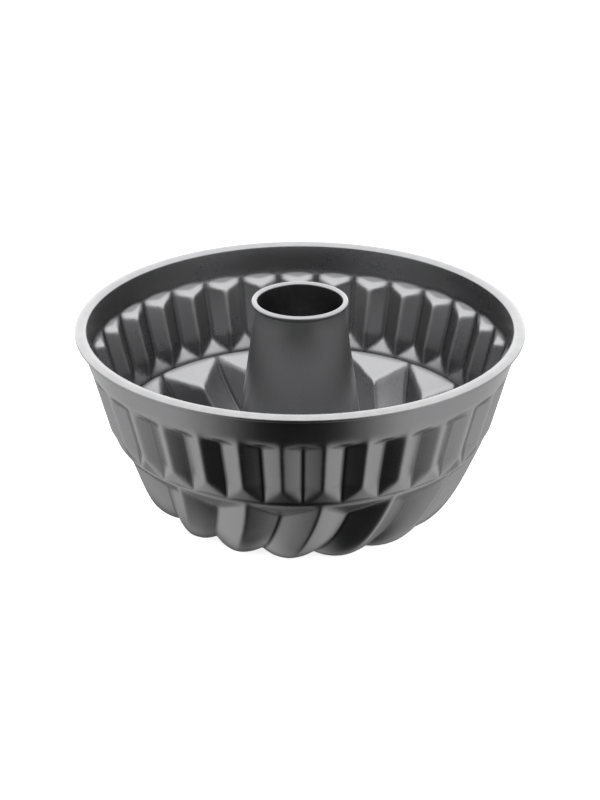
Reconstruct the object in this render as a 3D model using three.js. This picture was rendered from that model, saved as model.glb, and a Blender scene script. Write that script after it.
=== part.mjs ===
// Fluted ring cake pan (gugelhupf pan) of coated sheet steel, made the way the real one is:
// a deep-drawn shell whose rim is rolled outwards, and a conical centre tube that is hooked
// round the collar of the shell's centre hole. Millimetres, +Z up, the pan stands on Z = 0
// with its mouth upwards, and the axis of the tube is the Z axis.

import * as THREE from 'three';

// ---- driving dimensions ----

// sheet and fits
const SHEET = 0.8;              // thickness of the steel sheet
const SEAM_GAP = 0.3;           // clearance between the two sheets in the seam

// overall sizes
const RIM_RADIUS = 125.4;       // outer edge of the rolled rim
const PAN_HEIGHT = 111;         // base to the top of the rim
const TUBE_RISE = 14;           // top of the centre tube above the rim

// rolled rim
const RIM_WIDTH = 7;
const RIM_DEPTH = 3.4;
const RIM_LIP = 3;              // how far the rolled edge runs back under the rim

// plain band under the rim
const BAND_HEIGHT = 16.8;
const BAND_DRAFT = 2.5;         // degrees

// upright flutes
const FLUTE_HEIGHT = 31.5;      // top of a flute to the lower end of its ridge
const FLUTE_DRAFT = 15.3;       // degrees
const FLUTE_DEPTH = 4.3;
const FLUTE_RUN_IN = 6;         // height over which a valley sinks to its full depth
const FLUTE_RUN_OUT = 10;       // height over which a ridge falls back to the ring
const FLUTE_CREST = 2.6;        // width of the flat along each ridge

// plain ring between the flutes and the lobes
const RING_HEIGHT = 1.6;
const RING_STEP = 5.2;          // the ring stands this far inside the lower end of a ridge

// swirled lobes
const LOBES = 16;               // each one as wide as two flutes
const LOBE_DEPTH = 8.3;
const LOBE_BASE_DEPTH = 4.4;
const LOBE_CREST = 4;           // width of the flat along each ridge
const LOBE_DRAFT = 23;          // degrees, where the lobes leave the ring
const LEDGE_LENGTH = 17.8;      // length of the ledge at the head of each valley
const LOBE_TURN = 15.9;         // degrees of swirl from the ring to the base
const TURN_AT_RING = 0.24;      // how much of an even swirl there is at the ring
const FLOOR_TURN = 7;           // degrees of swirl from the base to the collar

// base and collar
const BASE_RADIUS = 63.6;       // where the lobes reach the base
const LAND_WIDTH = 4;           // flat of each lobe on the base
const COLLAR_TOP = 15;
const COLLAR_BEND = 2;          // bend radius between the floor and the collar
const COLLAR_LENGTH = 6;

// centre tube
const TUBE_FOOT_RADIUS = 39.6;
const TUBE_TOP_RADIUS = 24.4;
const TUBE_CURL_RADIUS = 1.7;   // outer radius of the rolled top edge
const TUBE_SIDES = 48;

// ---- derived sizes ----

const LOBE_PITCH = 2 * Math.PI / LOBES;
const RIM_CURL = (RIM_DEPTH - SHEET) / 2;
const BAND_RADIUS = RIM_RADIUS - RIM_WIDTH + SHEET / 2;
const BAND_TOP = PAN_HEIGHT - SHEET / 2 - RIM_CURL;
const BAND_BOTTOM = BAND_TOP - BAND_HEIGHT;
const FLUTE_RADIUS = BAND_RADIUS - BAND_HEIGHT * slope(BAND_DRAFT);
const FLUTE_BOTTOM = BAND_BOTTOM - FLUTE_HEIGHT;
const FLUTE_FOOT_RADIUS = FLUTE_RADIUS - FLUTE_HEIGHT * slope(FLUTE_DRAFT);
const RING_RADIUS = FLUTE_FOOT_RADIUS - RING_STEP;
const RING_TOP = FLUTE_BOTTOM - FLUTE_RUN_OUT;
const RING_BOTTOM = RING_TOP - RING_HEIGHT;
const COLLAR_RADIUS = TUBE_FOOT_RADIUS + SEAM_GAP + SHEET / 2;

function slope(degrees) {
  return Math.tan(THREE.MathUtils.degToRad(degrees));
}

// ---- sheet outlines ----

// Points on an arc from one angle to another, in degrees; the first one is left out.
function arc(centreR, centreZ, radius, from, to, steps) {
  const points = [];
  for (let i = 1; i <= steps; i++) {
    const angle = THREE.MathUtils.degToRad(from + (to - from) * i / steps);
    points.push(new THREE.Vector2(centreR + radius * Math.cos(angle), centreZ + radius * Math.sin(angle)));
  }
  return points;
}

// For each point of a sheet's centre line, the step that moves both runs that meet there by one
// unit to their right, so that the faces of the sheet stay parallel to the line.
function sideSteps(line) {
  const right = line.slice(1).map((point, i) => {
    const run = point.clone().sub(line[i]).normalize();
    return new THREE.Vector2(run.y, -run.x);
  });
  return line.map((point, i) => {
    const before = right[Math.max(i - 1, 0)];
    const after = right[Math.min(i, right.length - 1)];
    return before.clone().add(after).divideScalar(1 + before.dot(after));
  });
}

// ---- the deep-drawn shell ----

// One station is a point of the sheet's centre line along a ridge, with what the valleys do there:
// `flute` and `lobe` are depths, `ledge` caps the depth of a lobe's valley, `crest` is the width of
// the flat along each ridge, and `turn` is the swirl in degrees.
function station(point, pattern = {}) {
  return { point, flute: 0, lobe: 0, ledge: Infinity, crest: FLUTE_CREST, turn: 0, ...pattern };
}

function collarStations() {
  const outer = COLLAR_RADIUS + COLLAR_BEND;
  const bend = arc(outer, COLLAR_TOP - COLLAR_BEND, COLLAR_BEND, 180, 90, 2);
  const foot = [
    new THREE.Vector2(COLLAR_RADIUS, COLLAR_TOP - COLLAR_BEND - COLLAR_LENGTH),
    new THREE.Vector2(COLLAR_RADIUS, COLLAR_TOP - COLLAR_BEND),
  ];
  const pattern = { crest: LOBE_CREST, turn: LOBE_TURN + FLOOR_TURN };
  return [...foot, ...bend].map((point) => station(point, pattern));
}

// The floor between the collar and the base: the lobes rise out of it as it falls.
function floorStations() {
  const start = new THREE.Vector2(COLLAR_RADIUS + COLLAR_BEND, COLLAR_TOP);
  const end = new THREE.Vector2(BASE_RADIUS - LAND_WIDTH, SHEET / 2);
  const reach = (end.x - start.x) * 0.45;
  const curve = new THREE.CubicBezierCurve(
    start,
    new THREE.Vector2(start.x + reach, start.y - reach * 0.2),
    new THREE.Vector2(end.x - reach, end.y),
    end,
  );
  const steps = 3;
  return curve.getSpacedPoints(steps).slice(1).map((point, i) => {
    const share = (i + 1) / steps;
    return station(point, {
      lobe: LOBE_BASE_DEPTH * share,
      crest: LOBE_CREST,
      turn: LOBE_TURN + FLOOR_TURN * (1 - share),
    });
  });
}

// Degrees of swirl at a share of the way from the base to the ring: it eases off towards the ring.
function swirl(share) {
  const down = 1 - share;
  return LOBE_TURN * (TURN_AT_RING * down + (1 - TURN_AT_RING) * down ** 2);
}

function lobeStations() {
  const start = new THREE.Vector2(BASE_RADIUS, SHEET / 2);
  const end = new THREE.Vector2(RING_RADIUS, RING_BOTTOM);
  const draft = THREE.MathUtils.degToRad(LOBE_DRAFT);
  const rise = (end.y - start.y) * 0.55;
  const curve = new THREE.CubicBezierCurve(
    start,
    new THREE.Vector2(start.x + (end.x - start.x) * 0.52, start.y),
    new THREE.Vector2(end.x - rise * Math.tan(draft), end.y - rise),
    end,
  );
  const length = curve.getLength();
  const ledgeStart = 1 - LEDGE_LENGTH / length;
  const shares = [0, 0.2, 0.4, 0.6, ledgeStart, (1 + ledgeStart) / 2];
  return shares.map((share) => station(curve.getPointAt(share), {
    lobe: LOBE_BASE_DEPTH + (LOBE_DEPTH - LOBE_BASE_DEPTH) * share,
    ledge: LOBE_DEPTH * (1 - share) / (1 - ledgeStart),
    crest: LOBE_CREST,
    turn: swirl(share),
  }));
}

function wallStations() {
  const runInRadius = FLUTE_RADIUS - FLUTE_RUN_IN * slope(FLUTE_DRAFT);
  return [
    station(new THREE.Vector2(RING_RADIUS, RING_BOTTOM)),
    station(new THREE.Vector2(RING_RADIUS, RING_TOP)),
    station(new THREE.Vector2(FLUTE_FOOT_RADIUS, FLUTE_BOTTOM), { flute: FLUTE_DEPTH }),
    station(new THREE.Vector2(runInRadius, BAND_BOTTOM - FLUTE_RUN_IN), { flute: FLUTE_DEPTH }),
    station(new THREE.Vector2(FLUTE_RADIUS, BAND_BOTTOM)),
  ];
}

function rimStations() {
  const inner = arc(BAND_RADIUS + RIM_CURL, BAND_TOP, RIM_CURL, 180, 90, 2);
  const outerCentre = RIM_RADIUS - SHEET / 2 - RIM_CURL;
  const outer = arc(outerCentre, BAND_TOP, RIM_CURL, 90, -90, 3);
  return [
    new THREE.Vector2(BAND_RADIUS, BAND_TOP),
    ...inner,
    new THREE.Vector2(outerCentre, BAND_TOP + RIM_CURL),
    ...outer,
    new THREE.Vector2(outerCentre - RIM_LIP, BAND_TOP - RIM_CURL),
  ].map((point) => station(point));
}

// The columns of points round the pan: two at each ridge of the flutes and one in each valley.
// A lobe is two flutes wide: its ridge is at quarter 0 and its valley at quarter 2. The depths
// are shares of the full depth, `side` is the edge of the ridge's flat, and a valley of the
// flutes faces -Y.
function columns() {
  const quarters = [
    { flute: 0, lobe: 0, sides: [-1, 1] },
    { flute: 1, lobe: 0.5, sides: [0] },
    { flute: 0, lobe: 1, sides: [-1, 1] },
    { flute: 1, lobe: 0.5, sides: [0] },
  ];
  const list = [];
  for (let lobe = 0; lobe < LOBES; lobe++) {
    quarters.forEach((quarter, q) => {
      const angle = (lobe + (q + 1) / 4) * LOBE_PITCH;
      for (const side of quarter.sides) {
        list.push({ angle, side, flute: quarter.flute, lobe: quarter.lobe });
      }
    });
  }
  return list;
}

function valleyDepth(place, column) {
  return place.flute * column.flute + Math.min(place.lobe * column.lobe, place.ledge);
}

function shellGeometry() {
  const stations = [
    ...collarStations(), ...floorStations(), ...lobeStations(), ...wallStations(), ...rimStations(),
  ];
  const steps = sideSteps(stations.map((place) => place.point));
  const around = columns();

  // each column goes up the outer face of the sheet and back down the inner face
  const upwards = stations.map((place, i) => ({ i, face: SHEET / 2 }));
  const downwards = stations.map((place, i) => ({ i, face: -SHEET / 2 })).reverse();
  const rows = [...upwards, ...downwards];
  const positions = [];
  for (const column of around) {
    for (const { i, face } of rows) {
      const place = stations[i];
      const spot = place.point.clone().addScaledVector(steps[i], face - valleyDepth(place, column));
      const crest = column.side * place.crest / 2 / spot.x;
      const angle = column.angle + crest - THREE.MathUtils.degToRad(place.turn);
      positions.push(spot.x * Math.sin(angle), -spot.x * Math.cos(angle), spot.y);
    }
  }

  // a four-sided patch is split from its ridge above to its valley below, so that the ends of the
  // flutes and the ledges of the lobes come out as flat triangles
  const index = [];
  around.forEach((column, j) => {
    const next = (j + 1) % around.length;
    rows.forEach((row, k) => {
      const up = (k + 1) % rows.length;
      const a = j * rows.length + k;
      const b = next * rows.length + k;
      const c = next * rows.length + up;
      const d = j * rows.length + up;
      const lower = stations[Math.min(row.i, rows[up].i)];
      const pattern = lower.lobe > 0 ? 'lobe' : 'flute';
      const valleyAhead = around[next][pattern] > column[pattern];
      if (valleyAhead === (row.face > 0)) {
        index.push(a, b, d, b, c, d);
      } else {
        index.push(a, b, c, a, c, d);
      }
    });
  });

  const geometry = new THREE.BufferGeometry();
  geometry.setAttribute('position', new THREE.Float32BufferAttribute(positions, 3));
  geometry.setIndex(index);
  geometry.computeVertexNormals();
  return geometry;
}

// ---- the centre tube ----

// The centre line of the tube's sheet: the hook under the collar, the cone and the rolled top.
function tubeLine() {
  const foot = TUBE_FOOT_RADIUS - SHEET / 2;
  const hook = COLLAR_RADIUS + SEAM_GAP + SHEET;
  const hookBend = (hook - foot) / 2;
  const hookBottom = COLLAR_TOP - COLLAR_BEND - COLLAR_LENGTH - SEAM_GAP;
  const curl = TUBE_CURL_RADIUS - SHEET / 2;
  const top = PAN_HEIGHT + TUBE_RISE - TUBE_CURL_RADIUS;
  const neck = TUBE_TOP_RADIUS - SHEET / 2;
  return [
    new THREE.Vector2(hook, hookBottom + COLLAR_LENGTH - SEAM_GAP),
    new THREE.Vector2(hook, hookBottom),
    ...arc(foot + hookBend, hookBottom, hookBend, 0, -180, 4),
    new THREE.Vector2(foot, COLLAR_TOP),
    new THREE.Vector2(neck, top),
    ...arc(neck + curl, top, curl, 180, -60, 6),
  ];
}

function tubeGeometry() {
  const line = tubeLine();
  const steps = sideSteps(line);
  const outer = line.map((point, i) => point.clone().addScaledVector(steps[i], SHEET / 2));
  const inner = line.map((point, i) => point.clone().addScaledVector(steps[i], -SHEET / 2));
  const outline = [...outer, ...inner.reverse()];
  const geometry = new THREE.LatheGeometry([...outline, outline[0].clone()], TUBE_SIDES);
  geometry.rotateX(Math.PI / 2);
  return geometry;
}

// ---- assembly ----

function part(name, geometry, colour, roughness, metalness) {
  const material = new THREE.MeshStandardMaterial({ color: colour, roughness, metalness });
  const mesh = new THREE.Mesh(geometry, material);
  mesh.name = name;
  return mesh;
}

const pan = new THREE.Group();
pan.add(part('pan_shell', shellGeometry(), 0x55565a, 0.35, 0.4));
pan.add(part('centre_tube', tubeGeometry(), 0x5a5b5e, 0.35, 0.4));

export default pan;
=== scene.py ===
"""A fluted ring cake pan of coated sheet steel on a pale studio floor.

The pan is two pressed sheets: a deep-drawn shell with 32 upright flutes above 16 swirled lobes, and
a conical centre tube that is hooked round the collar of the shell's centre hole.
"""

import math
from typing import NamedTuple

import bmesh
import bpy
import numpy as np
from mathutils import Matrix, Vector


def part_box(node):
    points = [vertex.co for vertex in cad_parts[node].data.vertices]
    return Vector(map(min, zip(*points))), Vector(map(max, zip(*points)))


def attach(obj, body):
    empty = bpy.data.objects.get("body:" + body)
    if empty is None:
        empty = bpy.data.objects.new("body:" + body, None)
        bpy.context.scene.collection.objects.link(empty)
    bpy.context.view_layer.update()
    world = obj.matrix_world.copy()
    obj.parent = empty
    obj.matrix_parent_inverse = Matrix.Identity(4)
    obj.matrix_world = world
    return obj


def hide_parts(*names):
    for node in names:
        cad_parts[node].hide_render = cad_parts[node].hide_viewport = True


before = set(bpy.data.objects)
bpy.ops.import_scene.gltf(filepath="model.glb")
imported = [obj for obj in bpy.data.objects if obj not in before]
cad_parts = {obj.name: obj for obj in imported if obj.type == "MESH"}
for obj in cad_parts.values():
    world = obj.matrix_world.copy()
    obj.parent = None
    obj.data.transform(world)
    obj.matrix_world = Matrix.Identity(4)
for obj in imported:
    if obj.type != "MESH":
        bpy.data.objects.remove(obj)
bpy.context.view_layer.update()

MM = 0.001

# ---- sizes of the pan, in millimetres ----

PAN_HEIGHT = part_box("pan_shell")[1].z / MM
TUBE_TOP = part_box("centre_tube")[1].z / MM

SHEET = 0.8
SEAM_GAP = 0.3

RIM_RADIUS = 125.4
RIM_WIDTH = 7.0
RIM_DEPTH = 3.4
RIM_CROWN = 1.7  # how far the rim's top bulges
RIM_LIP = 3.0

BAND_HEIGHT = 16.4
BAND_DRAFT = math.radians(2.5)

FLUTE_HEIGHT = 31.5
FLUTE_DRAFT = math.radians(15.3)
FLUTE_DEPTH = 4.3
FLUTE_RUN_IN = 6.0
FLUTE_RUN_OUT = 10.0

RING_HEIGHT = 1.6
RING_STEP = 5.2

LOBES = 16
LOBE_DEPTH = 8.3
LOBE_BASE_DEPTH = 4.4
LOBE_DRAFT = math.radians(23)
LEDGE_LENGTH = 17.8
LOBE_TURN = math.radians(15.9)
TURN_AT_RING = 0.24  # how much of an even swirl there is at the ring
LOBE_ROUND_FROM = 0.55  # shares of the way up between which flat-sided lobes become round
LOBE_ROUND_TO = 0.15
FLOOR_TURN = math.radians(7)

BASE_RADIUS = 63.6
LAND_WIDTH = 4.0
COLLAR_TOP = 15.0
COLLAR_BEND = 2.0
COLLAR_LENGTH = 6.0

TUBE_FOOT_RADIUS = 39.6
TUBE_TOP_RADIUS = 24.4
TUBE_CURL_RADIUS = 1.7
TUBE_SIDES = 160

# ---- derived sizes ----

PITCH = 2 * math.pi / LOBES
RIM_HEM = RIM_DEPTH - SHEET - RIM_CROWN
BAND_RADIUS = RIM_RADIUS - RIM_WIDTH + SHEET / 2
BAND_TOP = PAN_HEIGHT - SHEET / 2 - RIM_CROWN
BAND_BOTTOM = BAND_TOP - BAND_HEIGHT
FLUTE_RADIUS = BAND_RADIUS - BAND_HEIGHT * math.tan(BAND_DRAFT)
FLUTE_BOTTOM = BAND_BOTTOM - FLUTE_HEIGHT
FLUTE_FOOT_RADIUS = FLUTE_RADIUS - FLUTE_HEIGHT * math.tan(FLUTE_DRAFT)
RING_RADIUS = FLUTE_FOOT_RADIUS - RING_STEP
RING_TOP = FLUTE_BOTTOM - FLUTE_RUN_OUT
RING_BOTTOM = RING_TOP - RING_HEIGHT
COLLAR_RADIUS = TUBE_FOOT_RADIUS + SEAM_GAP + SHEET / 2

# how the floor's curve sets out, as shares of its width, and its fall there
FLOOR_REACH = 0.45
FLOOR_FALL = 0.2
# how far the lobes' curve follows the base and the wall, as shares of its width and height
LOBE_REACH = 0.52
LOBE_RISE = 0.55

# half the width over which the press rounds every fold, along the outline and around the pan,
# and how many times that at the top of the flutes and at the ring
FOLD_ALONG = 2.6
FOLD_AROUND = 2.2
TOP_SOFTNESS = 1.8
RING_SOFTNESS = 0.6
SHARPEST_FOLD = 0.1  # radians in a millimetre

NO_LIMIT = 99.0  # deeper than any valley

# columns of points across a quarter of a lobe, close together where it is folded
QUARTER = [0, 0.08, 0.16, 0.27, 0.5, 0.73, 0.84, 0.92]


# ---- node trees ----


class Wiring:
    """Makes nodes in a tree and joins them up."""

    def __init__(self, tree):
        self.tree = tree

    def node(self, kind, inputs, output=0, **settings):
        """A new node's output. An input is a plain value or the output of another node."""
        node = self.tree.nodes.new(kind)
        for name, setting in settings.items():
            setattr(node, name, setting)
        for name, value in inputs.items():
            if isinstance(value, bpy.types.NodeSocket):
                self.tree.links.new(value, node.inputs[name])
            else:
                node.inputs[name].default_value = value
        return node.outputs[output]

    def math(self, operation, a, b):
        return self.node("ShaderNodeMath", {0: a, 1: b}, operation=operation)

    def ramp(self, value, low, high, to_low, to_high, shape="LINEAR"):
        """Goes from to_low to to_high as the value goes from low to high, and stays there."""
        inputs = {"Value": value, "From Min": low, "From Max": high, "To Min": to_low, "To Max": to_high}
        return self.node("ShaderNodeMapRange", inputs, interpolation_type=shape)

    def blend(self, share, a, b):
        """A colour between the colours a and b."""
        return self.node("ShaderNodeMix", {0: share, 6: a, 7: b}, output=2, data_type="RGBA")


# ---- outlines of the sheet ----


def arc(centre, radius, start, end, steps):
    """Points on an arc, angles in degrees, without the first one."""
    points = []
    for i in range(1, steps + 1):
        angle = math.radians(start + (end - start) * i / steps)
        points.append((centre[0] + radius * math.cos(angle), centre[1] + radius * math.sin(angle)))
    return points


def between(start, end, share):
    return tuple(a + (b - a) * share for a, b in zip(start, end))


def straight(start, end, steps):
    """Points on a line, without the first one."""
    return [between(start, end, i / steps) for i in range(1, steps + 1)]


def curve(p0, p1, p2, p3, steps):
    """Points on a cubic curve, without the first one."""
    points = []
    for i in range(1, steps + 1):
        t = i / steps
        weights = ((1 - t) ** 3, 3 * (1 - t) ** 2 * t, 3 * (1 - t) * t**2, t**3)
        points.append(tuple(sum(w * p[k] for w, p in zip(weights, (p0, p1, p2, p3))) for k in (0, 1)))
    return points


def distances(line):
    """How far along the line each of its points is."""
    along = [0.0]
    for a, b in zip(line, line[1:]):
        along.append(along[-1] + math.dist(a, b))
    return along


def side_steps(line):
    """For each point, the step that moves both runs that meet there by one unit to their right."""
    right = []
    for a, b in zip(line, line[1:]):
        run = math.dist(a, b)
        right.append(Vector(((b[1] - a[1]) / run, -(b[0] - a[0]) / run)))
    steps = []
    for i in range(len(line)):
        before = right[max(i - 1, 0)]
        after = right[min(i, len(right) - 1)]
        steps.append((before + after) / (1 + before.dot(after)))
    return steps


# ---- the pressed shell ----


class Pressing(NamedTuple):
    """What the press does to the sheet at one place of its outline."""

    push_r: float = -1.0  # the way in which the valleys are pressed
    push_z: float = 0.0
    lobe: float = 0.0  # how deep the lobes' valleys would be
    ledge: float = 0.0  # how deep they may be
    flute: float = 0.0  # how deep the flutes' valleys would be
    drop: float = 0.0  # the share of it that they fall short
    limit: float = 0.0  # how deep they may be
    turn: float = 0.0  # swirl
    soft: float = 1.0  # how rounded the folds are
    bulge: float = 0.0  # flat-sided lobes, 0, or round ones, 1


class Outline:
    """The middle of the shell's sheet along a ridge, from the collar out to the rim's lip, with what
    the press does to it on the way."""

    def __init__(self, start):
        self.points = [start]
        self.pressings = [None]
        self.rows = [0.0]

    def add(self, points, rows, pressing):
        """Goes on along points. rows says how many rows of the mesh this stretch takes, or lists
        their places as shares of it, and pressing(share, k) gives what holds at a share of it."""
        first = len(self.points) - 1
        self.points += points
        along = distances(self.points)[first:]
        length = along[-1] - along[0]
        for k in range(1, len(along)):
            self.pressings.append(pressing((along[k] - along[0]) / length, first + k))
        if self.pressings[first] is None:
            self.pressings[first] = pressing(0.0, first)
        shares = [(i + 1) / rows for i in range(rows)] if isinstance(rows, int) else rows
        self.rows += [along[0] + length * share for share in shares]


def inward(points, k):
    """The way square to the outline at its point k: up from the floor, and in from the wall."""
    a, b = points[max(k - 1, 0)], points[min(k + 1, len(points) - 1)]
    run = math.dist(a, b)
    return (-(b[1] - a[1]) / run, (b[0] - a[0]) / run)


def swirl(share):
    """How far the lobes have turned at a share of the way from the base up to the ring."""
    down = 1 - share
    return LOBE_TURN * (TURN_AT_RING * down + (1 - TURN_AT_RING) * down**2)


def add_collar(line):
    """The collar that hangs from the floor's inner edge, and the bend between the two."""
    whole_turn = LOBE_TURN + FLOOR_TURN
    foot = COLLAR_TOP - COLLAR_BEND

    def plain(share, k):
        return Pressing(0.0, 1.0, turn=whole_turn, soft=0)

    line.add([(COLLAR_RADIUS, foot)], 1, plain)
    line.add(arc((COLLAR_RADIUS + COLLAR_BEND, foot), COLLAR_BEND, 180, 90, 6), 3, plain)


def add_floor(line):
    """The curved floor, where the lobes rise on the way out, and their flats on the base."""
    start = line.points[-1]
    end = (BASE_RADIUS - LAND_WIDTH, SHEET / 2)
    reach = (end[0] - start[0]) * FLOOR_REACH
    fall = reach * FLOOR_FALL
    floor = curve(start, (start[0] + reach, start[1] - fall), (end[0] - reach, end[1]), end, 60)

    def rising(share, k):
        depth = LOBE_BASE_DEPTH * (3 * share**2 - 2 * share**3)
        turn = LOBE_TURN + FLOOR_TURN * (1 - share)
        push = inward(line.points, k)
        return Pressing(*push, depth, NO_LIMIT, turn=turn, soft=min(1, share * 4), bulge=1)

    def level(share, k):
        return Pressing(0.0, 1.0, LOBE_BASE_DEPTH, NO_LIMIT, turn=LOBE_TURN, bulge=1)

    line.add(floor, 8, rising)
    line.add(straight(end, (BASE_RADIUS, SHEET / 2), 8), 1, level)


def add_lobes(line):
    """The swirled lobes up to the ring, with a ledge at the head of each valley."""
    start = line.points[-1]
    end = (RING_RADIUS, RING_BOTTOM)
    rise = (end[1] - start[1]) * LOBE_RISE
    low = (start[0] + (end[0] - start[0]) * LOBE_REACH, start[1])
    high = (end[0] - rise * math.tan(LOBE_DRAFT), end[1] - rise)
    lobes = curve(start, low, high, end, 160)
    length = distances([start] + lobes)[-1]
    ledge_share = LEDGE_LENGTH / length

    def pressed(share, k):
        depth = LOBE_BASE_DEPTH + (LOBE_DEPTH - LOBE_BASE_DEPTH) * share
        ledge = LOBE_DEPTH * (1 - share) / ledge_share
        bulge = (LOBE_ROUND_FROM - share) / (LOBE_ROUND_FROM - LOBE_ROUND_TO)
        push = inward(line.points, k)
        return Pressing(*push, depth, ledge, turn=swirl(share), bulge=min(max(bulge, 0), 1))

    # closer rows where the ledge is
    close_from = 1 - (LEDGE_LENGTH + 3) / length
    rows = [close_from * i / 19 for i in range(1, 20)]
    rows += [close_from + (1 - close_from) * i / 12 for i in range(1, 13)]
    line.add(lobes, rows, pressed)


def add_flutes(line):
    """The plain ring, and the flutes: run-out, straight part, and run-in to the band."""
    push = (-math.cos(FLUTE_DRAFT), math.sin(FLUTE_DRAFT))
    run_in = (FLUTE_RADIUS - FLUTE_RUN_IN * math.tan(FLUTE_DRAFT), BAND_BOTTOM - FLUTE_RUN_IN)

    def on_ring(share, k):
        return Pressing(*push, flute=FLUTE_DEPTH, drop=1, limit=NO_LIMIT, soft=RING_SOFTNESS)

    def running_out(share, k):
        soft = RING_SOFTNESS + (1 - RING_SOFTNESS) * share
        return Pressing(*push, flute=FLUTE_DEPTH, drop=1 - share, limit=NO_LIMIT, soft=soft)

    def pressed(share, k):
        return Pressing(*push, flute=FLUTE_DEPTH, limit=FLUTE_DEPTH)

    def running_in(share, k):
        soft = 1 + (TOP_SOFTNESS - 1) * share
        return Pressing(*push, flute=FLUTE_DEPTH, limit=FLUTE_DEPTH * (1 - share), soft=soft)

    line.add(straight(line.points[-1], (RING_RADIUS, RING_TOP), 8), 3, on_ring)
    line.add(straight(line.points[-1], (FLUTE_FOOT_RADIUS, FLUTE_BOTTOM), 18), 9, running_out)
    rows = (0.05, 0.12, 0.3, 0.6, 0.85, 0.93, 1)
    line.add(straight(line.points[-1], run_in, 50), rows, pressed)
    line.add(straight(run_in, (FLUTE_RADIUS, BAND_BOTTOM), 16), 7, running_in)


def add_rim(line):
    """The plain band, and the rim: over its crowned top, round and back under."""
    push = (-math.cos(FLUTE_DRAFT), math.sin(FLUTE_DRAFT))

    def band_pressing(share, k):
        return Pressing(*push, soft=TOP_SOFTNESS * max(0, 1 - 2 * share))

    band = straight(line.points[-1], (BAND_RADIUS, BAND_TOP), 28)
    line.add(band, (0.09, 0.18, 0.32, 0.6, 1), band_pressing)

    half_width = (RIM_RADIUS - SHEET / 2 - BAND_RADIUS) / 2
    steps = 16
    rim = []
    for i in range(1, steps + 1):
        angle = math.pi * (1 - i / steps)
        radius = BAND_RADIUS + half_width * (1 + math.cos(angle))
        rim.append((radius, BAND_TOP + RIM_CROWN * math.sin(angle)))
    rim += arc((rim[-1][0] - RIM_HEM, BAND_TOP), RIM_HEM, 0, -90, 4)
    rim.append((rim[-1][0] - RIM_LIP, rim[-1][1]))
    along = distances([line.points[-1]] + rim)
    rows = [place / along[-1] for place in along[1:]]
    line.add(rim, rows, lambda share, k: Pressing(*push, soft=0))


def shell_outline():
    line = Outline((COLLAR_RADIUS, COLLAR_TOP - COLLAR_BEND - COLLAR_LENGTH))
    for add in (add_collar, add_floor, add_lobes, add_flutes, add_rim):
        add(line)
    return line


def middle_of_sheet(line):
    """Where the middle of the sheet is, as a function of how far along the outline and how many
    quarters of a lobe across from its ridge."""
    runs = distances(line.points)
    values = dict(zip(("radius", "height"), zip(*line.points)))
    values |= dict(zip(Pressing._fields, zip(*line.pressings)))

    def known(name, run):
        return np.interp(run, runs, values[name])

    def sharp(run, across):
        """Radius and height with every fold left sharp."""
        flute_share = 1 - np.abs(np.mod(across, 2) - 1)
        lobe_share = 1 - np.abs(np.mod(across, 4) - 2) / 2
        lobe = known("lobe", run) * lobe_share * (1 - known("bulge", run) * (1 - lobe_share))
        flute = known("flute", run) * (flute_share - known("drop", run))
        depth = np.minimum(lobe, known("ledge", run)) + np.clip(flute, 0, known("limit", run))
        radius = known("radius", run) + known("push_r", run) * depth
        return radius, known("height", run) + known("push_z", run) * depth

    def soft(run, across):
        """Radius, height and swirl with the folds rounded, by averaging over a small window."""
        along_window = FOLD_ALONG * known("soft", run)
        around_window = FOLD_AROUND * known("soft", run) / (known("radius", run) * PITCH / 4)
        radius, height, total = 0.0, 0.0, 0.0
        for along in (-0.8, -0.4, 0, 0.4, 0.8):
            for around in (-0.8, -0.4, 0, 0.4, 0.8):
                weight = (1 - abs(along)) * (1 - abs(around))
                r, z = sharp(run + along * along_window, across + around * around_window)
                radius, height, total = radius + weight * r, height + weight * z, total + weight
        return radius / total, height / total, known("turn", run)

    return soft


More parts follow.
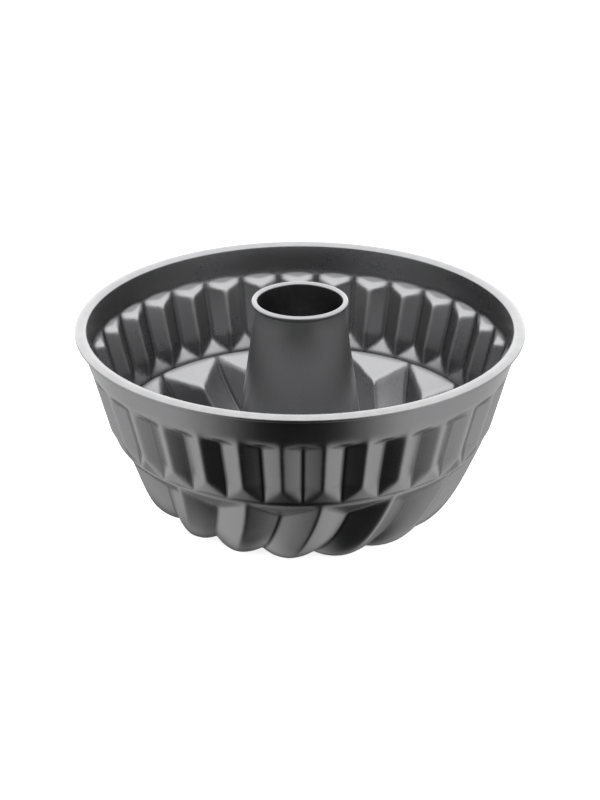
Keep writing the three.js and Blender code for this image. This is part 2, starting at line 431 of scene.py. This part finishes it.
def one_lobe_mesh():
    """The slice of the shell that one lobe and its two flutes take up, both faces of the sheet."""
    line = shell_outline()
    across = np.array([q + place for q in range(4) for place in QUARTER])
    run, across = np.meshgrid(np.array(line.rows), across, indexing="ij")
    radius, height, turn = middle_of_sheet(line)(run, across)
    angle = PITCH / 4 + across * PITCH / 4 - turn

    def in_space(radius, angle, height):
        return np.stack([radius * np.sin(angle), -radius * np.cos(angle), height], axis=-1)

    # one more column on either side, from the neighbouring lobes
    wide_radius = np.concatenate([radius[:, -1:], radius, radius[:, :2]], axis=1)
    wide_height = np.concatenate([height[:, -1:], height, height[:, :2]], axis=1)
    wide_angle = np.concatenate([angle[:, -1:] - PITCH, angle, angle[:, :2] + PITCH], axis=1)
    middle = in_space(wide_radius, wide_angle, wide_height)
    along = np.gradient(middle, axis=0)
    around = np.zeros_like(middle)
    around[:, 1:-1] = middle[:, 2:] - middle[:, :-2]
    outward = np.cross(around, along)[:, 1:-1]
    outward /= np.linalg.norm(outward, axis=-1, keepdims=True)
    middle = middle[:, 1:-1]
    faces_of_sheet = [middle + outward * (SHEET / 2), (middle - outward * (SHEET / 2))[::-1]]
    grid = np.concatenate(faces_of_sheet) * MM

    # how sharply the sheet is folded: 1 on the sharpest edges, and -1 in the sharpest creases
    bend = np.zeros(outward.shape[:2])
    for axis in (0, 1):
        step = np.gradient(middle, axis=axis)
        turned = (np.gradient(outward, axis=axis) * step).sum(axis=-1) / (step * step).sum(axis=-1)
        bend = np.where(abs(turned) > abs(bend), turned, bend)
    fold = np.clip(np.concatenate([bend, -bend[::-1]]) / SHARPEST_FOLD, -1, 1)

    mesh = bmesh.new()
    points = [[mesh.verts.new(spot) for spot in row] for row in grid]
    for k in range(len(points)):
        low, high = points[k], points[(k + 1) % len(points)]
        for j in range(len(low) - 1):
            mesh.faces.new((low[j], low[j + 1], high[j + 1], high[j]))
    data = bpy.data.meshes.new("one_lobe")
    mesh.to_mesh(data)
    mesh.free()
    data.attributes.new("fold", "FLOAT", "POINT").data.foreach_set("value", fold.ravel())
    return data


def repeat_round_tree(material):
    """Geometry nodes: repeats a slice round the vertical axis and joins the slices into one shell."""
    tree = bpy.data.node_groups.new("repeat_round", "GeometryNodeTree")
    face = tree.interface
    face.new_socket("Geometry", in_out="INPUT", socket_type="NodeSocketGeometry")
    face.new_socket("Count", in_out="INPUT", socket_type="NodeSocketInt")
    face.new_socket("Join Distance", in_out="INPUT", socket_type="NodeSocketFloat")
    face.new_socket("Geometry", in_out="OUTPUT", socket_type="NodeSocketGeometry")
    given = tree.nodes.new("NodeGroupInput").outputs
    wiring = Wiring(tree)

    centres = wiring.node("GeometryNodePoints", {"Count": given["Count"]})
    index = wiring.node("GeometryNodeInputIndex", {})
    angle = wiring.math("MULTIPLY", index, wiring.math("DIVIDE", 2 * math.pi, given["Count"]))
    turn = wiring.node("ShaderNodeCombineXYZ", {"Z": angle})
    inputs = {"Points": centres, "Instance": given["Geometry"], "Rotation": turn}
    copies = wiring.node("GeometryNodeInstanceOnPoints", inputs)
    slices = wiring.node("GeometryNodeRealizeInstances", {"Geometry": copies})
    inputs = {"Geometry": slices, "Distance": given["Join Distance"]}
    shell = wiring.node("GeometryNodeMergeByDistance", inputs)

    # smooth shading, but for the sheet's own cut edges
    shell = wiring.node("GeometryNodeSetShadeSmooth", {"Geometry": shell})
    bend = wiring.node("GeometryNodeInputMeshEdgeAngle", {}, output="Unsigned Angle")
    inputs = {"A": bend, "B": math.radians(50)}
    gentle = wiring.node("FunctionNodeCompare", inputs, operation="LESS_THAN")
    inputs = {"Geometry": shell, "Shade Smooth": gentle}
    shell = wiring.node("GeometryNodeSetShadeSmooth", inputs, domain="EDGE")
    shell = wiring.node("GeometryNodeSetMaterial", {"Geometry": shell, "Material": material})
    tree.links.new(shell, tree.nodes.new("NodeGroupOutput").inputs[0])
    return tree


def set_input(modifier, name, value):
    for item in modifier.node_group.interface.items_tree:
        if item.item_type == "SOCKET" and item.in_out == "INPUT" and item.name == name:
            modifier[item.identifier] = value


def as_mesh(source, name):
    """The source object with its modifiers applied, as a new plain mesh object."""
    depsgraph = bpy.context.evaluated_depsgraph_get()
    data = bpy.data.meshes.new_from_object(source.evaluated_get(depsgraph))
    data.name = name
    piece = bpy.data.objects.new(name, data)
    bpy.context.collection.objects.link(piece)
    bpy.data.objects.remove(source)
    return piece


def make_shell(material):
    slice_object = bpy.data.objects.new("shell_slice", one_lobe_mesh())
    bpy.context.collection.objects.link(slice_object)
    modifier = slice_object.modifiers.new("repeat", "NODES")
    modifier.node_group = repeat_round_tree(material)
    set_input(modifier, "Count", LOBES)
    set_input(modifier, "Join Distance", 0.02 * MM)
    return as_mesh(slice_object, "fluted_shell")


# ---- the centre tube ----


def tube_line():
    """The centre line of the tube's sheet: the hook under the collar, the cone, the rolled top."""
    foot = TUBE_FOOT_RADIUS - SHEET / 2
    hook = COLLAR_RADIUS + SEAM_GAP + SHEET
    bend = (hook - foot) / 2
    hook_bottom = COLLAR_TOP - COLLAR_BEND - COLLAR_LENGTH - SEAM_GAP
    curl = TUBE_CURL_RADIUS - SHEET / 2
    top = TUBE_TOP - TUBE_CURL_RADIUS
    neck = TUBE_TOP_RADIUS - SHEET / 2
    line = [(hook, hook_bottom + COLLAR_LENGTH - SEAM_GAP), (hook, hook_bottom)]
    line += arc((foot + bend, hook_bottom), bend, 0, -180, 10)
    line.append((foot, COLLAR_TOP))
    line += straight((foot, COLLAR_TOP), (neck, top), 12)
    line += arc((neck + curl, top), curl, 180, -80, 20)
    return line


def make_tube(material):
    line = tube_line()
    steps = side_steps(line)
    outline = [Vector(point) + step * (SHEET / 2) for point, step in zip(line, steps)]
    outline += reversed([Vector(point) - step * (SHEET / 2) for point, step in zip(line, steps)])
    mesh = bmesh.new()
    rings = []
    for j in range(TUBE_SIDES):
        angle = 2 * math.pi * j / TUBE_SIDES
        ring = []
        for spot in outline:
            place = Vector((spot.x * math.sin(angle), -spot.x * math.cos(angle), spot.y))
            ring.append(mesh.verts.new(place * MM))
        rings.append(ring)
    for j in range(TUBE_SIDES):
        left, right = rings[j], rings[(j + 1) % TUBE_SIDES]
        for k in range(len(outline)):
            up = (k + 1) % len(outline)
            mesh.faces.new((left[k], right[k], right[up], left[up])).smooth = True
    data = bpy.data.meshes.new("tapered_tube")
    mesh.to_mesh(data)
    mesh.free()
    data.materials.append(material)
    piece = bpy.data.objects.new("tapered_tube", data)
    bpy.context.collection.objects.link(piece)
    return piece


# ---- materials ----


def finish_group():
    """The coated sheet's finish: a fine speckle, coating rubbed thin on edges, painted shade that
    darkens the creases, a slight unevenness of gloss, and the orange peel of a sprayed and baked coat."""
    tree = bpy.data.node_groups.new("baked_coat", "ShaderNodeTree")
    face = tree.interface
    kinds = {"Coat": "Color", "Rubbed Coat": "Color", "Painted Crease Shade": "Color"}
    kinds |= {"Rubbing": "Float", "Gloss": "Float", "Speckle Size": "Float"}
    for name, kind in kinds.items():
        face.new_socket(name, in_out="INPUT", socket_type="NodeSocket" + kind)
    for name, kind in {"Color": "Color", "Roughness": "Float", "Height": "Float"}.items():
        face.new_socket(name, in_out="OUTPUT", socket_type="NodeSocket" + kind)
    given = tree.nodes.new("NodeGroupInput").outputs
    wiring = Wiring(tree)
    where = wiring.node("ShaderNodeTexCoord", {}, output="Object")

    def noise(scale, detail):
        inputs = {"Vector": where, "Scale": scale, "Detail": detail}
        return wiring.node("ShaderNodeTexNoise", inputs, output="Fac")

    # the folds: the coating is rubbed thin in patches on their edges, and the creases get painted shade,
    # a darker colour
    fold = wiring.node("ShaderNodeAttribute", {}, output="Fac", attribute_name="fold")
    edge = wiring.ramp(fold, 0.2, 1, 0, 1)
    crease_shade = wiring.ramp(fold, -0.35, -1, 0, 1)
    patches = wiring.ramp(noise(160, 3), 0.4, 0.7, 0.2, 1)
    rubbed = wiring.math("MULTIPLY", wiring.math("MULTIPLY", edge, patches), given["Rubbing"])

    # the metallic speckle
    grain = noise(wiring.math("DIVIDE", 1, given["Speckle Size"]), 2)
    speckle = wiring.ramp(grain, 0.56, 0.72, 0, 0.35)
    thin = wiring.math("MAXIMUM", rubbed, speckle)
    colour = wiring.blend(thin, given["Coat"], given["Rubbed Coat"])
    # painted shade: the creases are given a darker colour in place of the coat's own
    colour = wiring.blend(crease_shade, colour, given["Painted Crease Shade"])

    # cloudy changes of gloss
    clouds = wiring.ramp(noise(28, 4), 0.3, 0.7, -0.02, 0.02)
    gloss = wiring.math("ADD", given["Gloss"], clouds)
    gloss = wiring.math("ADD", gloss, wiring.math("MULTIPLY", rubbed, 0.06))

    # orange peel
    height = wiring.math("ADD", noise(700, 1), wiring.math("MULTIPLY", grain, 0.2))

    made = tree.nodes.new("NodeGroupOutput").inputs
    for name, value in {"Color": colour, "Roughness": gloss, "Height": height}.items():
        tree.links.new(value, made[name])
    return tree


def coating(name, finish, gloss, peel):
    """Dark graphite non-stick coating on sheet steel."""
    material = bpy.data.materials.new(name)
    material.use_nodes = True
    nodes, links = material.node_tree.nodes, material.node_tree.links
    surface = nodes["Principled BSDF"]
    surface.inputs["Metallic"].default_value = 1.0
    coat = nodes.new("ShaderNodeGroup")
    coat.node_tree = finish
    coat.inputs["Coat"].default_value = (0.235, 0.235, 0.24, 1)
    coat.inputs["Rubbed Coat"].default_value = (0.30, 0.30, 0.30, 1)
    # painted shade in the creases: a darker colour, not a thicker coat
    coat.inputs["Painted Crease Shade"].default_value = (0.12, 0.12, 0.123, 1)
    coat.inputs["Rubbing"].default_value = 0.5
    coat.inputs["Gloss"].default_value = gloss
    coat.inputs["Speckle Size"].default_value = 0.7 * MM
    bump = nodes.new("ShaderNodeBump")
    bump.inputs["Strength"].default_value = 1.0
    bump.inputs["Distance"].default_value = peel * MM
    links.new(coat.outputs["Color"], surface.inputs["Base Color"])
    links.new(coat.outputs["Roughness"], surface.inputs["Roughness"])
    links.new(coat.outputs["Height"], bump.inputs["Height"])
    links.new(bump.outputs["Normal"], surface.inputs["Normal"])
    return material


# ---- studio ----

# brightness
FLOOR_GLOW = 0.8
TENT_BELOW_FRONT = 0.02
TENT_BELOW_BACK = 1.06
TENT_GLOW = 2.6
TENT_ABOVE = 2.55
SOFTBOX_WATTS = 30

# metres
FLOOR_WIDTH = 12
FLOOR_BELOW = 0.2 * MM
DISC_BELOW = 0.1 * MM
DISC_RADIUS = 58 * MM
SOFTBOX_WIDTH = 1.6
SOFTBOX_ABOVE = 2.2
CAMERA_DISTANCE = 1.484
CAMERA_AIM = 109.5 * MM  # the height it looks at

CAMERA_AZIMUTH = math.radians(-0.8)
CAMERA_ELEVATION = math.radians(23.24)


def matt_white(name, glow):
    material = bpy.data.materials.new(name)
    material.use_nodes = True
    surface = material.node_tree.nodes["Principled BSDF"]
    surface.inputs["Base Color"].default_value = (0.8, 0.8, 0.8, 1)
    surface.inputs["Roughness"].default_value = 0.9
    surface.inputs["Specular IOR Level"].default_value = 0.0
    surface.inputs["Emission Color"].default_value = (1, 1, 1, 1)
    surface.inputs["Emission Strength"].default_value = glow
    return material


def make_floor():
    """A white floor lit from below, and under the pan a disc that is not, for its reflections."""
    bpy.ops.mesh.primitive_plane_add(size=FLOOR_WIDTH, location=(0, 0, -FLOOR_BELOW))
    floor = bpy.context.object
    floor.name = "studio_floor"
    floor.data.materials.append(matt_white("lit_floor", FLOOR_GLOW))
    floor.visible_glossy = False
    place = (0, 0, -DISC_BELOW)
    bpy.ops.mesh.primitive_circle_add(vertices=96, radius=DISC_RADIUS, fill_type="NGON", location=place)
    disc = bpy.context.object
    disc.name = "studio_floor_inside_the_foot"
    disc.data.materials.append(matt_white("plain_floor", 0))
    disc.visible_camera = False


def make_world():
    """A white light tent: bright above, and below the horizon dark in front and light at the back."""
    world = bpy.data.worlds.new("light_tent")
    bpy.context.scene.world = world
    world.use_nodes = True
    wiring = Wiring(world.node_tree)
    where = wiring.node("ShaderNodeTexCoord", {}, output="Generated")
    x, y, z = wiring.node("ShaderNodeSeparateXYZ", {0: where}).node.outputs

    def plus(a, b):
        return wiring.math("ADD", a, b)

    def times(a, b):
        return wiring.math("MULTIPLY", a, b)

    def less(a, b):
        return wiring.math("SUBTRACT", a, b)

    def fade(value, low, high, to_low, to_high):
        return wiring.ramp(value, low, high, to_low, to_high, "SMOOTHSTEP")

    # below, the tent is dark in front and light at the sides and the back
    aside = wiring.math("ABSOLUTE", x, 0)
    round_about = plus(plus(times(aside, 0.9), times(x, 0.1)), times(y, 0.42))
    lower = wiring.ramp(round_about, 0.0, 0.56, TENT_BELOW_FRONT, TENT_BELOW_BACK)

    # there is a darker gap in it behind the pan, and above the gap it glows
    gap = fade(plus(aside, plus(times(z, 1.2), 0.54)), 0.12, 0.42, 0.75, 0.0)
    gap = times(gap, fade(y, 0.3, 0.65, 0.0, 1.0))
    over_gap = times(fade(z, -0.3, -0.1, 0.0, 1.0), fade(z, 0.12, 0.42, 1.0, 0.0))
    glow = times(times(fade(y, 0.8, 0.96, 0.0, 1.0), over_gap), TENT_GLOW)
    low = plus(times(lower, less(1, gap)), glow)

    # above, it is bright all over
    above = fade(plus(z, times(y, 0.3)), 0.02, 0.36, 0.0, 1.0)
    tent = plus(times(less(1, above), low), times(above, TENT_ABOVE))

    # a view past the floor's edge sees plain white
    seen = wiring.node("ShaderNodeLightPath", {}, output="Is Camera Ray")
    strength = plus(times(less(1, seen), tent), seen)
    background = world.node_tree.nodes["Background"]
    world.node_tree.links.new(strength, background.inputs["Strength"])
    background.inputs["Color"].default_value = (1, 1, 1, 1)


def make_softbox():
    """A large soft light straight above."""
    data = bpy.data.lights.new("overhead_softbox", "AREA")
    data.shape = "DISK"
    data.size = SOFTBOX_WIDTH
    data.energy = SOFTBOX_WATTS
    softbox = bpy.data.objects.new("overhead_softbox", data)
    bpy.context.collection.objects.link(softbox)
    softbox.location = (0, 0, SOFTBOX_ABOVE)
    softbox.visible_glossy = False
    softbox.visible_camera = False


def make_camera():
    """The view of the pan: from in front, 23 degrees above level, through a long lens."""
    data = bpy.data.cameras.new("camera")
    camera = bpy.data.objects.new("camera", data)
    bpy.context.collection.objects.link(camera)
    bpy.context.scene.camera = camera
    data.sensor_width = 36
    data.lens = 120
    level = math.cos(CAMERA_ELEVATION)
    back_x = math.sin(CAMERA_AZIMUTH) * level
    back_y = -math.cos(CAMERA_AZIMUTH) * level
    back = Vector((back_x, back_y, math.sin(CAMERA_ELEVATION)))
    camera.location = back * CAMERA_DISTANCE + Vector((0, 0, CAMERA_AIM))
    camera.rotation_mode = "QUATERNION"
    camera.rotation_quaternion = (-back).to_track_quat("-Z", "Y")
    # the rim's centre stands above the middle of the frame
    data.shift_y = -0.094375
    data.clip_start = 0.05
    data.clip_end = 50


# ---- assembly ----

scene = bpy.context.scene
scene.view_settings.view_transform = "Standard"

finish = finish_group()
shell_finish = coating("shell_coating", finish, 0.28, 0.01)
tube_finish = coating("tube_coating", finish, 0.3, 0.01)

shell = make_shell(shell_finish)
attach(shell, "root")
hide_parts("pan_shell")

tube = make_tube(tube_finish)
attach(tube, "root")
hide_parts("centre_tube")

make_floor()
make_world()
make_softbox()
make_camera()
